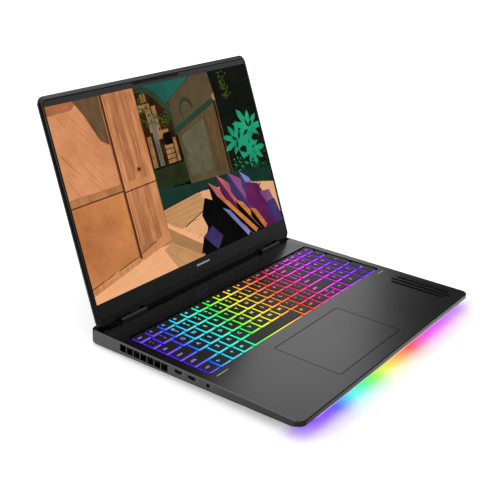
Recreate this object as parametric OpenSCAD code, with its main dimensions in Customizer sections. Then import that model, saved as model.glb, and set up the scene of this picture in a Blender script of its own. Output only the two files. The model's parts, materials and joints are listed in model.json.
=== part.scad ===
// A 16-inch gaming laptop, opened for use: a base with keyboard, touchpad, cooling, battery
// and sockets, and a display lid on two friction hinges. Millimetres, +X to the user's right,
// +Y to the rear, +Z up, table at z = 0.

/* [Base] */
// Width of the base
base_w = 356.5; // [350:0.5:360]
// Depth of the base
base_d = 269; // [265:0.5:275]
// Height of the deck's top face above the table
deck_z = 17.5; // [17:0.1:19]
// Thickness of the deck plate
deck_t = 1.6; // [1.2:0.1:1.8]
// Thickness of the base's outer walls
wall_t = 1.6; // [1.2:0.1:1.8]
// Plan radius of the base's corners
corner_r = 8; // [6:0.5:9]
// Chamfer along the deck's top edge
deck_chamfer = 0.8; // [0.4:0.1:1]
// Height of the wall's lower edge at the front
part_front_z = 12.2; // [11:0.1:13]
// Height of the wall's lower edge at the rear
part_rear_z = 3; // [2.5:0.1:4]
// Height of the rubber feet
foot_h = 1.8; // [1.5:0.1:2]

/* [Lid] */
// Angle between the deck and the screen
lid_angle = 110; // [60:1:130]
// Width of the lid
lid_w = 355; // [350:0.5:356]
// Distance from the hinge axis to the lid's top edge
lid_top = 253.7; // [250:0.1:255]
// Thickness of the lid
lid_t = 6.8; // [6.6:0.1:7.2]
// Width of the lit area of the screen
screen_w = 344.7; // [344:0.1:345]
// Height of the lit area of the screen
screen_h = 215.4; // [215:0.1:216]
// Distance from the hinge axis up to the lit area
screen_low = 26.5; // [26:0.1:28]

/* [Hinge] */
// Distance of the hinge axis behind the middle of the base
hinge_y = 119.6; // [119:0.1:120]
// Height of the hinge axis above the deck
hinge_rise = 1; // [0.8:0.1:1.2]
// Middle of each hinge from the middle of the laptop
hinge_x = 128; // [120:1:132]
// Width of each hinge cap
cap_w = 39; // [36:1:42]
// Radius of the hinge pin
pin_r = 1.5; // [1.2:0.1:1.6]

/* [Keyboard] */
// Spacing of the letter keys along a row
key_pitch = 18.53; // [18.5:0.01:18.6]
// Spacing of the rows
row_pitch = 18.43; // [18.3:0.01:18.5]
// Gap between neighbouring keys
key_gap = 3.1; // [2.6:0.1:3.4]
// Height of a keycap
cap_h = 2.8; // [2.5:0.1:3]
// Travel of a key
key_travel = 1.5; // [1:0.1:1.5]

/* [Touchpad] */
// Width of the touchpad
pad_w = 123.5; // [110:0.5:124]
// Depth of the touchpad
pad_d = 79.5; // [70:0.5:80]
// Gap round the touchpad
pad_gap = 0.4; // [0.2:0.05:0.5]

/* [Cooling] */
// Largest radius that a fan's blades may sweep
fan_r = 30; // [26:0.5:31]
// Number of blades on a fan
fan_blades = 29; // [19:2:37]
// Number of slots in each side grille
vent_count = 7; // [5:1:7]

/* [Hidden] */
$fn = 48;

// The frame's origin lies under the middle of the opened laptop's box, behind the base's middle.
origin_y = 38.8;

under_deck = deck_z - deck_t;
floor_low = foot_h;
floor_top = foot_h + 1.4;
part_slope = (part_rear_z - part_front_z) / base_d;
shell_seam = 0.4;
hinge_z = deck_z + hinge_rise;

// Keyboard grid lines, measured from the base's middle
kb_left = -164.8;
kb_main_right = 101.7;
kb_right = 167.3;
kb_low = -19.4;
numpad_pitch = (kb_right - kb_main_right) / 4;
function_keys_count = 14;
function_pitch = (kb_main_right - kb_left) / function_keys_count;
function_row_h = 15.6;
window_lo = [-166.5, -21];
window_hi = [168, 89.3];
key_top = deck_z - 0.2;
key_bottom = key_top - cap_h;
key_wall = 1.2;
key_roof = 1.3;
plate_top = key_bottom - key_travel - 0.3;
plate_t = 0.5;
sheet_t = 0.3;
guide_t = 0.4;
dome_r = 2;
dome_h = 1.4;

// Touchpad
pad_x = -22.7;
pad_y = -77.7;
pad_t = 1.15;
pad_board_t = 0.8;

// Trough that the lid's lower edge turns in
trough_y = [117.4, 128];
trough_floor = deck_z - 4;
trough_half = 174.8;

// Lid, in its own frame: hinge axis at the origin, screen facing -Y, +Z up the screen
lid_front = -0.2;
lid_back = lid_front + lid_t;
lid_low = -0.2;
lid_skin = 0.8;
seam_half = 174;
seam_top = 249.3;
crease_z = 9.7;
notch_top = 5.25;
notch_gap = 0.3;
nose_r = 1.9;
nose_half = 166;
bezel_t = 0.8;
panel_t = 3;

cap_r = 4.1;
cap_edge = 2.2;
cap_inset = 0.15;
barrel_r = 3;
pin_clear = 0.05;
arm_y = [4.55, 5.75];

// Mainboard and the packages on it
board_z = 6;
board_t = 1.2;
chip_top = board_z + board_t + 1.2;

// Fans, heatsinks and grilles
hub_r = 10;
fan_x = 115;
fan_y = 60;
fan_low = 3.7;
fan_high = 11.3;
fin_pitch = 2.4;
fin_t = 0.5;
vent_y = [23.5, 89];
vent_z = [deck_z - 10, deck_z - 2];
vent_rib = 1.1;
rear_vent_x = [62, 150];

// Low and high corners of each rubber strip
foot_sets = [[[-150, 106], [150, 114]], [[-150, -110], [-96, -102]], [[96, -110], [150, -102]]];

screw_at = [[166, 106], [53, 121], [158, -26], [158, -112], [100, -118]];
screw_r = 1;
boss_r = 2.4;

usb_c_y = [9.7, -7.7];
usb_c_z = deck_z - 4.2;
jack_x = -base_w / 2 + 2;
jack_y = -28;
jack_z = deck_z - 4.5;
jack_r = 1.8;
jack_len = 12;
usb_a_y = [-35, -57];
usb_a_z = 12.9;
rear_socket_z = 7.6;
ethernet_x = -26;
hdmi_x = 0;
power_x = 26;

// Quarter circle from the angle a0, in n steps
function arc(cx, cy, r, a0, n) =
    [for (i = [0:n]) let (a = a0 + 90 * i / n) [cx + r * cos(a), cy + r * sin(a)]];

// Outline of a rounded rectangle from its low and high corners
function round_rect(lo, hi, r, n = 6) = concat(
    arc(hi[0] - r, hi[1] - r, r, 0, n), arc(lo[0] + r, hi[1] - r, r, 90, n),
    arc(lo[0] + r, lo[1] + r, r, 180, n), arc(hi[0] - r, lo[1] + r, r, 270, n));

module block(lo, hi) translate(lo) cube(hi - lo);

module slab(lo, hi, r, z, h, n = 6)
    translate([0, 0, z]) linear_extrude(h) polygon(round_rect(lo, hi, r, n));

module mirrored() {
    children();
    mirror([1, 0, 0]) children();
}

module rod(x0, x1, y, z, r) translate([x0, y, z]) rotate([0, 90, 0]) cylinder(r = r, h = x1 - x0);

// ---- placing -------------------------------------------------------------------------------
module in_base() translate([0, -origin_y, 0]) children();

module in_lid() in_base() translate([0, hinge_y, hinge_z]) rotate([90 - lid_angle, 0, 0]) children();

// ---- keys ----------------------------------------------------------------------------------
function row_y(row) = kb_low + row * row_pitch;

// One row of keys as boxes [x0, x1, y0, y1], from a left edge and a list of widths
function run_x(x, widths, i) = i == 0 ? x : run_x(x, widths, i - 1) + widths[i - 1];
function key_run(x, y0, y1, widths) =
    [for (i = [0:len(widths) - 1]) [run_x(x, widths, i), run_x(x, widths, i + 1), y0, y1]];
function same(width, count) = [for (i = [1:count]) width];
function row_run(row, x, widths) = key_run(x, row_y(row), row_y(row + 1), widths);
function function_run(x, widths) = key_run(x, row_y(5), row_y(5) + function_row_h, widths);

number_left = kb_main_right - 28.9 - 12 * key_pitch;
tab_right = kb_main_right - 13 * key_pitch;
enter_left = kb_main_right - 33.9;
caps_right = enter_left - 11 * key_pitch;
right_shift_left = kb_main_right - 43.4;
left_shift_right = right_shift_left - 10 * key_pitch;
alt_right = -89.8;
space_right = 2.6;
arrow_split = 1.2;

escape_boxes = function_run(kb_left, [function_pitch]);
function_boxes = function_run(kb_left + function_pitch, same(function_pitch, function_keys_count - 1));
navigation_boxes = function_run(kb_main_right, same(numpad_pitch, 3));
power_boxes = function_run(kb_right - numpad_pitch, [numpad_pitch]);
number_boxes = row_run(4, kb_left, concat([number_left - kb_left], same(key_pitch, 12)));
backspace_boxes = row_run(4, kb_main_right - 28.9, [28.9]);
tab_boxes = row_run(3, kb_left, [tab_right - kb_left]);
upper_boxes = row_run(3, tab_right, same(key_pitch, 13));
caps_boxes = row_run(2, kb_left, [caps_right - kb_left]);
home_boxes = row_run(2, caps_right, same(key_pitch, 11));
enter_boxes = row_run(2, enter_left, [33.9]);
left_shift_boxes = row_run(1, kb_left, [left_shift_right - kb_left]);
lower_boxes = row_run(1, left_shift_right, same(key_pitch, 10));
right_shift_boxes = row_run(1, right_shift_left, [43.4]);
modifier_boxes = concat(row_run(0, kb_left, [18.4, 19.4, 18.6, 18.6]),
    row_run(0, space_right, [18.5, 18.6]));
space_boxes = row_run(0, alt_right, [space_right - alt_right]);
arrow_mid = row_y(0) + row_pitch / 2;
arrow_lift = (key_gap - arrow_split) / 2;
arrow_boxes = concat(row_run(0, 39.7, [right_shift_left - 39.7]),
    key_run(right_shift_left, row_y(0), arrow_mid + arrow_lift, [24.5]),
    key_run(right_shift_left, arrow_mid - arrow_lift, row_y(1), [24.5]),
    row_run(0, right_shift_left + 24.5, [kb_main_right - right_shift_left - 24.5]));
numpad_boxes = concat(row_run(4, kb_main_right, same(numpad_pitch, 4)),
    row_run(3, kb_main_right, same(numpad_pitch, 3)), row_run(2, kb_main_right, same(numpad_pitch, 3)),
    row_run(1, kb_main_right, same(numpad_pitch, 3)),
    row_run(0, kb_main_right, [2 * numpad_pitch, numpad_pitch]));
plus_boxes = key_run(kb_right - numpad_pitch, row_y(2), row_y(4), [numpad_pitch]);
numpad_enter_boxes = key_run(kb_right - numpad_pitch, row_y(0), row_y(2), [numpad_pitch]);

all_boxes = concat(escape_boxes, function_boxes, navigation_boxes, power_boxes, number_boxes,
    backspace_boxes, tab_boxes, upper_boxes, caps_boxes, home_boxes, enter_boxes,
    left_shift_boxes, lower_boxes, right_shift_boxes, modifier_boxes, space_boxes, arrow_boxes,
    numpad_boxes, plus_boxes, numpad_enter_boxes);

module keycap(b) {
    lo = [b[0] + key_gap / 2, b[2] + key_gap / 2];
    hi = [b[1] - key_gap / 2, b[3] - key_gap / 2];
    wall = [key_wall, key_wall];
    difference() {
        slab(lo, hi, 1.3, key_bottom, cap_h, 3);
        slab(lo + wall, hi - wall, 0.4, key_bottom - 1, cap_h - key_roof + 1, 1);
    }
}

module keycaps(boxes) color([0.13, 0.13, 0.14]) for (b = boxes) keycap(b);

module keyboard_plate() color([0.08, 0.08, 0.09]) difference() {
    slab(window_lo + [0.4, 0.4], window_hi - [0.4, 0.4], 3, plate_top - plate_t, plate_t);
    for (b = all_boxes)
        translate([(b[0] + b[1]) / 2, (b[2] + b[3]) / 2, plate_top - plate_t - 1])
            cylinder(r = dome_r + 0.4, h = plate_t + 2);
}

module dome_sheet() color([0.75, 0.75, 0.72]) {
    sheet_low = plate_top - plate_t - sheet_t;
    slab(window_lo + [0.4, 0.4], window_hi - [0.4, 0.4], 3, sheet_low, sheet_t);
    for (b = all_boxes)
        translate([(b[0] + b[1]) / 2, (b[2] + b[3]) / 2, sheet_low])
            cylinder(r = dome_r, h = plate_top + dome_h - sheet_low);
}

module light_guide() color([0.9, 0.9, 0.95])
    slab(window_lo + [0.4, 0.4], window_hi - [0.4, 0.4], 3,
        plate_top - plate_t - sheet_t - guide_t, guide_t);

// A flat square frame that guides each key, round its dome
module key_scissors() color([0.85, 0.85, 0.83]) for (b = all_boxes) {
    room = [b[1] - b[0], b[3] - b[2]] - (key_gap + 2 * key_wall + 0.6) * [1, 1];
    half = [min(room[0], 10.5), min(room[1], 10.5)] / 2;
    middle = [(b[0] + b[1]) / 2, (b[2] + b[3]) / 2];
    if (half[1] > dome_r + 1.2) difference() {
        slab(middle - half, middle + half, 0.6, plate_top, 1, 1);
        translate([middle[0], middle[1], plate_top - 1]) cylinder(r = dome_r + 0.6, h = 3);
    }
}

// ---- base shells ---------------------------------------------------------------------------
base_lo = [-base_w / 2, -base_d / 2];
base_hi = [base_w / 2, base_d / 2];

// Everything above (side = 1) or below (side = -1) the sloping line where the two shells meet
module parting(side) translate([0, -base_d / 2, part_front_z]) rotate([atan(part_slope), 0, 0])
    translate([-base_w, -30, side > 0 ? 0 : -40]) cube([2 * base_w, base_d + 60, 40]);

module side_vents() for (i = [0:vent_count - 1]) {
    pitch = (vent_y[1] - vent_y[0] + vent_rib) / vent_count;
    y = vent_y[0] + i * pitch;
    mirrored() block([-base_w / 2 - 1, y, vent_z[0]],
        [-base_w / 2 + wall_t + 0.6, y + pitch - vent_rib, vent_z[1]]);
}

module wall_hole(y, z, w, h, r) translate([0, y, z]) rotate([90, 0, 90])
    linear_extrude(10) polygon(round_rect([-w / 2, -h / 2], [w / 2, h / 2], r, 4));

module side_sockets() {
    for (y = usb_c_y) translate([-base_w / 2 - 5, 0, 0]) wall_hole(y, usb_c_z, 9.6, 3.9, 1.9);
    rod(-base_w / 2 - 5, -base_w / 2 + 5, jack_y, jack_z, jack_r + 0.2);
    for (y = usb_a_y) translate([base_w / 2 - 5, 0, 0]) wall_hole(y, usb_a_z, 14.6, 5.8, 0.4);
}

module rear_openings() {
    y = [base_d / 2 - wall_t - 1, base_d / 2 + 1];
    mirrored() block([rear_vent_x[0], y[0], 4.2], [rear_vent_x[1], y[1], 11.6]);
    block([ethernet_x - 7.1, y[0], 3.8], [ethernet_x + 7.1, y[1], 12.2]);
    block([hdmi_x - 7.9, y[0], rear_socket_z - 3.1], [hdmi_x + 7.9, y[1], rear_socket_z + 3.1]);
    block([power_x - 6.5, y[0], rear_socket_z - 3.2], [power_x + 6.5, y[1], rear_socket_z + 3.2]);
}

module deck_body() {
    inset = [wall_t, wall_t];
    rim = [1.2, 1.2];
    difference() {
        hull() {
            slab(base_lo, base_hi, corner_r, 0, deck_z - deck_chamfer, 8);
            slab(base_lo + deck_chamfer * [1, 1], base_hi - deck_chamfer * [1, 1],
                corner_r - deck_chamfer, 0, deck_z, 8);
        }
        parting(-1);
        slab(base_lo + inset, base_hi - inset, corner_r - wall_t, -1, under_deck + 1, 8);
    }
    slab(window_lo - rim, window_hi + rim, 5, plate_top - 1.2, under_deck - plate_top + 1.4);
    block([-base_w / 2 + 1, trough_y[0] - 1.2, trough_floor - 1.2],
        [base_w / 2 - 1, trough_y[1] + 1.2, under_deck + 0.2]);
    mirrored() for (p = screw_at)
        translate([p[0], p[1], 5]) cylinder(r = boss_r, h = under_deck - 4.9);
}

module top_deck() color([0.2, 0.2, 0.21]) difference() {
    deck_body();
    slab(window_lo, window_hi, 4, 0, deck_z + 1);
    slab([pad_x - pad_w / 2, pad_y - pad_d / 2], [pad_x + pad_w / 2, pad_y + pad_d / 2], 3, 0, deck_z + 1);
    block([-trough_half, trough_y[0], trough_floor], [trough_half, trough_y[1], deck_z + 1]);
    mirrored() block([hinge_x - cap_w / 2, 112.6, trough_floor - 2],
        [hinge_x + cap_w / 2, 125, deck_z + 1]);
    mirrored() for (p = screw_at)
        translate([p[0], p[1], 0]) cylinder(r = screw_r + 0.05, h = 11);
    side_vents();
    side_sockets();
    rear_openings();
}

// Solid between the sloping parting line and the underside, grown inwards by in
module floor_form(in, low) {
    reach = [base_w / 2 - corner_r - in, base_d / 2 - corner_r - in];
    r = corner_r - in / 2;
    hull() {
        for (sx = [-1, 1]) {
            translate([sx * reach[0], reach[1], part_rear_z + in * 0.6]) cylinder(r = r, h = 15, $fn = 32);
            translate([sx * reach[0], -reach[1], part_front_z + in * 0.6]) cylinder(r = r, h = 5.8, $fn = 32);
            translate([sx * (reach[0] - 1), reach[1] - 0.8, low]) cylinder(r = r, h = 1, $fn = 32);
            translate([sx * (reach[0] - 11), -reach[1] + 11, low]) cylinder(r = r, h = 1, $fn = 32);
        }
    }
}

module intake_slots() for (i = [-6:6]) {
    half = sqrt(30 * 30 - 16 * i * i);
    mirrored() block([fan_x + 4 * i - 1, fan_y - half, 0], [fan_x + 4 * i + 1, fan_y + half, 6]);
}

module light_bar_form(grow) rotate([90, 0, 90]) translate([0, 0, -152 - grow])
    linear_extrude(304 + 2 * grow) polygon([[-132.6 - grow, 11.9 + grow], [-134.2 - grow, 10.4 - grow],
        [-129.4, 6.2 - grow], [-127.2 + grow, 7.6]]);

module bottom_cover() color([0.1, 0.1, 0.105]) difference() {
    union() {
        difference() {
            floor_form(0, floor_low);
            floor_form(wall_t, floor_top);
        }
        mirrored() for (p = screw_at)
            translate([p[0], p[1], floor_low + 0.4]) cylinder(r = boss_r + 1, h = 2.8);
    }
    translate([0, 0, -shell_seam]) parting(1);
    mirrored() for (p = screw_at) {
        translate([p[0], p[1], 0]) cylinder(r = screw_r + 0.2, h = 12);
        translate([p[0], p[1], 0]) cylinder(r = 2.2, h = floor_low + 1.2);
    }
    intake_slots();
    for (i = [0:5]) mirrored() block([143, -84 + 8 * i, 0], [159, -82 + 8 * i, 6]);
    light_bar_form(0.05);
}

module light_bar() color([0.9, 0.9, 0.95]) difference() {
    light_bar_form(0);
    translate([-150, -130.6, 9.3]) cube([300, 6, 2]);
}

module rubber_feet() color([0.05, 0.05, 0.05])
    for (f = foot_sets) slab(f[0], f[1], 3.9, 0, foot_h, 8);

module bottom_screws() color([0.45, 0.45, 0.47]) mirrored() for (p = screw_at)
    translate([p[0], p[1], floor_low + 0.1]) difference() {
        union() {
            cylinder(r = 1.9, h = 1.1);
            cylinder(r = screw_r, h = 8);
        }
        translate([0, 0, -1]) cylinder(r = 0.8, h = 1.8, $fn = 6);
    }

// ---- electronics ---------------------------------------------------------------------------
module mainboard() color([0.05, 0.16, 0.09]) {
    difference() {
        block([-78, -20, board_z], [78, 94, board_z + board_t]);
        block([-20, -21, board_z - 1], [-8, -10, board_z + board_t + 1]);
    }
    block([-176, -14, 10.2], [-169.4, 16, 11.2]);
    block([164, -66, 8.6], [172, -26, 9.6]);
    block([-34, 116, 3.3], [34, 119, 11]);
}

module processor_packages() color([0.2, 0.2, 0.22]) {
    block([-48, 50, board_z + board_t], [-8, 84, chip_top]);
    block([12, 46, board_z + board_t], [58, 90, chip_top]);
}

module vapor_chamber() color([0.72, 0.45, 0.3]) difference() {
    slab([-74, 38], [74, 95], 4, chip_top, 2.4);
    for (x = [-66, 66]) translate([x, 46, 0]) cylinder(r = 1.4, h = 14);
}

module heat_pipes() color([0.78, 0.48, 0.3]) for (i = [0:2])
    slab([-168 + 8 * i, 96 + 5 * i], [168 - 8 * i, 100 + 5 * i], 1.9, 6.4, 4, 4);

module fin_stack(lo, hi) {
    count = floor((hi[0] - lo[0]) / fin_pitch);
    block(lo, [hi[0], hi[1], lo[2] + fin_t]);
    for (i = [0:count]) {
        x = lo[0] + i * fin_pitch;
        block([x, lo[1], lo[2]], [x + fin_t, hi[1], hi[2]]);
    }
}

module heatsinks() color([0.7, 0.7, 0.72]) mirrored() {
    fin_stack([rear_vent_x[0], 112, 3.7], [rear_vent_x[1], 131, 11.2]);
    translate([-173.4, 24, 0]) rotate([0, 0, 90]) mirror([0, 1, 0])
        fin_stack([0, 0, 5.6], [64, 21, 11.2]);
}

module fan_housing() color([0.07, 0.07, 0.07]) translate([-fan_x, fan_y, 0]) {
    half = 35;
    difference() {
        slab([-half, -half], [half, half], 12, fan_low, fan_high - fan_low);
        slab([-half + 1, -half + 1], [half - 1, half - 1], 11, fan_low + 0.6, fan_high - fan_low - 1.1);
        translate([0, 0, fan_high - 1]) cylinder(r = 24, h = 3);
        difference() {
            translate([0, 0, fan_low - 1]) cylinder(r = 25, h = 2);
            translate([0, 0, fan_low - 2]) cylinder(r = 11, h = 4);
            for (a = [0:120:240]) rotate([0, 0, a + 15]) translate([0, -2, fan_low - 2]) cube([30, 4, 4]);
        }
        block([-half - 1, -22, fan_low + 0.6], [0, 22, fan_high - 0.6]);
        block([-22, 0, fan_low + 0.6], [22, half + 1, fan_high - 0.6]);
    }
    translate([0, 0, fan_low]) cylinder(r = 1, h = 5.4);
}

module fan_housings() mirrored() fan_housing();

module fan_rotor(side) color([0.12, 0.12, 0.13]) translate([side * fan_x, fan_y, fan_low + 1]) {
    difference() {
        cylinder(r = hub_r, h = 5.2);
        translate([0, 0, -1]) cylinder(r = 1.05, h = 5.6);
    }
    for (i = [0:fan_blades - 1]) rotate([0, 0, i * 360 / fan_blades])
        translate([hub_r - 0.6, 0, 0]) rotate([0, 0, side * 16]) cube([fan_r - hub_r, 0.5, 4.8]);
}

module battery_pack() color([0.09, 0.09, 0.1]) {
    for (i = [0:5]) slab([-138 + 46 * i, -100], [-93.5 + 46 * i, -34], 3, 3.6, 6.6, 3);
    block([-138, -33.9, 3.6], [138, -28.4, 9]);
}

module ssd_module() color([0.06, 0.06, 0.1]) block([-76, -8, 7.9], [2, 14, 9.6]);

module memory_modules() color([0.05, 0.2, 0.1]) {
    block([5, -16, 7.4], [74, 14, 8.6]);
    block([5, -14, 9.2], [74, 16, 10.4]);
}

module wireless_card() color([0.1, 0.15, 0.4]) block([-76, 18, 7.9], [-46, 36, 9.2]);

module speakers() color([0.08, 0.08, 0.08]) mirrored() difference() {
    slab([141, -92], [161, -38], 3, 3.7, 7.2);
    slab([144, -88], [158, -46], 4, 2.7, 2);
}

module usb_c_sockets() color([0.3, 0.3, 0.32]) for (y = usb_c_y)
    translate([-base_w / 2 + 0.4, y, usb_c_z]) rotate([90, 0, 90]) {
        difference() {
            linear_extrude(8.4) polygon(round_rect([-4.6, -1.75], [4.6, 1.75], 1.7, 5));
            translate([0, 0, -1]) linear_extrude(8.4) polygon(round_rect([-4.2, -1.3], [4.2, 1.3], 1.25, 5));
        }
        translate([-3.3, -0.35, 1.2]) cube([6.6, 0.7, 6.4]);
    }

module audio_jack() color([0.06, 0.06, 0.06]) difference() {
    block([jack_x, jack_y - 3.2, jack_z - 2.6], [jack_x + jack_len + 1, jack_y + 3.2, jack_z + 2.6]);
    rod(jack_x - 1, jack_x + jack_len, jack_y, jack_z, jack_r);
}

module usb_a_sockets() color([0.5, 0.5, 0.52]) for (y = usb_a_y) {
    x = [base_w / 2 - 14, base_w / 2 - 0.4];
    difference() {
        block([x[0], y - 7, usb_a_z - 2.8], [x[1], y + 7, usb_a_z + 2.8]);
        block([x[0] + 1, y - 6.5, usb_a_z - 2.4], [x[1] + 1, y + 6.5, usb_a_z + 2.4]);
    }
    block([x[0] + 0.9, y - 5.9, usb_a_z + 0.2], [x[1] - 1, y + 5.9, usb_a_z + 2]);
}

module rear_socket(x, w, h, wall, depth) {
    y = [base_d / 2 - 0.4 - depth, base_d / 2 - 0.4];
    difference() {
        block([x - w / 2, y[0], rear_socket_z - h / 2], [x + w / 2, y[1], rear_socket_z + h / 2]);
        block([x - w / 2 + wall, y[0] + 1, rear_socket_z - h / 2 + wall],
            [x + w / 2 - wall, y[1] + 1, rear_socket_z + h / 2 - wall]);
    }
}

module hdmi_socket() color([0.5, 0.5, 0.52]) {
    rear_socket(hdmi_x, 15, 5.6, 0.5, 11);
    block([hdmi_x - 6, base_d / 2 - 10.5, rear_socket_z - 0.6],
        [hdmi_x + 6, base_d / 2 - 2, rear_socket_z + 0.6]);
}

module ethernet_socket() color([0.1, 0.1, 0.1])
    translate([0, 0, 0.4]) rear_socket(ethernet_x, 14, 8.2, 0.7, 14);

module power_socket() color([0.08, 0.08, 0.08]) {
    rear_socket(power_x, 12.6, 6.1, 0.8, 12);
    translate([power_x, base_d / 2 - 11.9, rear_socket_z]) rotate([-90, 0, 0]) cylinder(r = 0.5, h = 8);
}

module rear_grille() color([0.06, 0.06, 0.06]) mirrored() difference() {
    block([rear_vent_x[0] + 0.1, base_d / 2 - 1.5, 4.3], [rear_vent_x[1] - 0.1, base_d / 2 - 0.3, 11.5]);
    for (i = [0:13]) {
        x = rear_vent_x[0] + 1.6 + i * 6.1;
        block([x, base_d / 2 - 3, 5], [x + 4.9, base_d / 2 + 1, 10.8]);
    }
}

// ---- touchpad ------------------------------------------------------------------------------
module touchpad_plate() color([0.21, 0.21, 0.22]) {
    half = [pad_w / 2 - pad_gap, pad_d / 2 - pad_gap];
    low = deck_z - 0.05 - pad_t;
    slab([pad_x, pad_y] - half, [pad_x, pad_y] + half, 2.8, low, pad_t);
    slab([pad_x, pad_y] - half + [4, 4], [pad_x, pad_y] + half - [4, 4], 1, low - pad_board_t, pad_board_t);
}

module touchpad_bracket() color([0.55, 0.55, 0.57]) {
    lo = [pad_x - pad_w / 2 - 6, pad_y - pad_d / 2 - 5];
    hi = [pad_x + pad_w / 2 + 6, pad_y + pad_d / 2 + 5];
    difference() {
        slab(lo, hi, 3, 13, 0.7);
        slab(lo + [22, 26], hi - [22, 16], 3, 12, 3);
    }
    for (x = [lo[0], hi[0] - 4]) block([x, lo[1] + 3, 13.7], [x + 4, hi[1] - 3, under_deck]);
    translate([pad_x - 3, pad_y - pad_d / 2 + 8, 13.7]) cube([6, 6, 1.1]);
}

// ---- hinges --------------------------------------------------------------------------------
module hinge_bracket() color([0.5, 0.5, 0.52]) {
    x = [hinge_x - cap_w / 2 + 19, hinge_x + cap_w / 2 - 1.2];
    difference() {
        union() {
            rod(x[0], x[1], hinge_y, hinge_z, barrel_r);
            block([x[0], hinge_y - 2.6, trough_floor - 1], [x[1], hinge_y + 1, hinge_z]);
            block([x[0], hinge_y - 6.8, trough_floor - 1], [x[1], hinge_y + 1, trough_floor + 0.6]);
            block([x[0], 96, trough_floor - 1], [x[1], hinge_y - 6.6, trough_floor + 0.6]);
        }
        rod(x[0] - 1, x[1] + 1, hinge_y, hinge_z, pin_r + pin_clear);
    }
}

// The fixed cover in front of a hinge's barrel, open behind where the lid's arm turns
module hinge_cap() color([0.1, 0.1, 0.1]) {
    x = [hinge_x - cap_w / 2 + cap_inset, hinge_x + cap_w / 2 - cap_inset];
    front = hinge_y - cap_r;
    difference() {
        union() {
            rod(x[0], x[1], front + cap_edge, hinge_z + cap_r - cap_edge, cap_edge);
            block([x[0], front + cap_edge, hinge_z], [x[1], hinge_y, hinge_z + cap_r]);
            block([x[0], front, under_deck - 1.6], [x[1], hinge_y, hinge_z + cap_r - cap_edge]);
            block([x[0], 112.8, under_deck - 1.6], [x[1], front + 0.8, under_deck + deck_t]);
        }
        rod(x[0] - 1, x[1] + 1, hinge_y, hinge_z, cap_r - 0.8);
        block([x[0] - 1, front + 0.8, 0], [x[1] + 1, hinge_y + 9, hinge_z]);
        block([x[0] - 1, hinge_y - 1.4, 0], [x[1] + 1, hinge_y + 9, hinge_z + 9]);
    }
}

module hinge_arm() color([0.5, 0.5, 0.52]) {
    x = [hinge_x - cap_w / 2 + 2, hinge_x - cap_w / 2 + 18];
    rod(x[0], hinge_x + cap_w / 2 - 1.4, 0, 0, pin_r);
    difference() {
        union() {
            rod(x[0], x[1], 0, 0, 2.8);
            block([x[0], 0, -1.2], [x[1], arm_y[1], 1]);
            block([x[0], arm_y[0], -1.2], [x[1], arm_y[1], 20]);
            block([x[0] - 24, arm_y[0], 9], [x[1], arm_y[1], 20]);
        }
        for (d = [-16, -4]) translate([x[0] + d, 8, 15]) rotate([90, 0, 0]) cylinder(r = 1.1, h = 6);
    }
}

// ---- lid -----------------------------------------------------------------------------------
// Outline in the lid's plane, with larger corners at the bottom, stood up to face -Y
function lid_outline(half, low, high, r, r_low) = concat(
    arc(half - r, high - r, r, 0, 8), arc(-half + r, high - r, r, 90, 8),
    arc(-half + r_low, low + r_low, r_low, 180, 8), arc(half - r_low, low + r_low, r_low, 270, 8));

module lid_slab(half, low, high, r, r_low, y0, y1)
    translate([0, y1, 0]) rotate([90, 0, 0]) linear_extrude(y1 - y0)
        polygon(lid_outline(half, low, high, r, r_low));

module hinge_notch(y1) mirrored() block([hinge_x - cap_w / 2 - notch_gap, -3, -3],
    [hinge_x + cap_w / 2 + notch_gap, y1, notch_top]);

module lid_cover() color([0.12, 0.12, 0.125]) difference() {
    hull() {
        lid_slab(lid_w / 2 - 2, lid_low + 1.6, lid_top - 3.2, 7, 9, lid_front, lid_front + 0.2);
        lid_slab(lid_w / 2, lid_low, lid_top, 9, 10, 2, lid_back - 3.2);
        lid_slab(lid_w / 2 - 2.2, lid_low + 0.2, lid_top - 2.2, 7, 9, lid_back - 0.2, lid_back);
    }
    lid_slab(seam_half, lid_low + 0.8, seam_top, 5, 8, lid_front - 1, lid_back - lid_skin);
    hinge_notch(lid_back - lid_skin);
}

module screen_bezel() color([0.08, 0.08, 0.085]) difference() {
    lid_slab(seam_half - 0.1, crease_z + 0.05, seam_top - 0.1, 4.9, 0.4, lid_front, lid_front + bezel_t);
    lid_slab(screen_w / 2, screen_low, screen_low + screen_h, 0.3, 0.3, lid_front - 1, lid_back);
    lid_slab(40.5, 245, 248.8, 1.8, 1.8, lid_front - 1, lid_back);
}

module display_panel() color([0.02, 0.02, 0.03])
    lid_slab(seam_half - 0.3, 22, 244.8, 1, 1, lid_front + bezel_t, lid_front + bezel_t + panel_t);

// Rounded nose round the hinge axis that closes the gap under the lid
module hinge_nose() rotate([90, 0, 90]) translate([0, 0, -nose_half]) linear_extrude(2 * nose_half)
    difference() {
        circle(r = nose_r);
        translate([lid_front - 0.05, -3]) square([5, 3.65]);
    }

module hinge_cover() color([0.09, 0.09, 0.09]) difference() {
    union() {
        intersection() {
            rotate([90, 0, 90]) translate([0, 0, -seam_half]) linear_extrude(2 * seam_half)
                polygon([[lid_front, crease_z], [1.3, lid_low + 0.9], [2.6, lid_low + 0.9], [1, crease_z]]);
            lid_slab(seam_half - 0.1, lid_low + 0.9, crease_z + 2, 1, 7.9, lid_front - 1, 8);
        }
        hinge_nose();
    }
    hinge_notch(9);
}

module camera_module() color([0.02, 0.02, 0.02]) difference() {
    union() {
        lid_slab(40.4, 245.1, 248.7, 1.7, 1.7, lid_front + 0.1, lid_front + bezel_t);
        lid_slab(38, 245.2, 248.6, 0.5, 0.5, lid_front + bezel_t, lid_front + bezel_t + 2.6);
    }
    translate([0, lid_front + 0.6, 246.9]) rotate([90, 0, 0]) cylinder(r = 1.2, h = 3);
}

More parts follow.
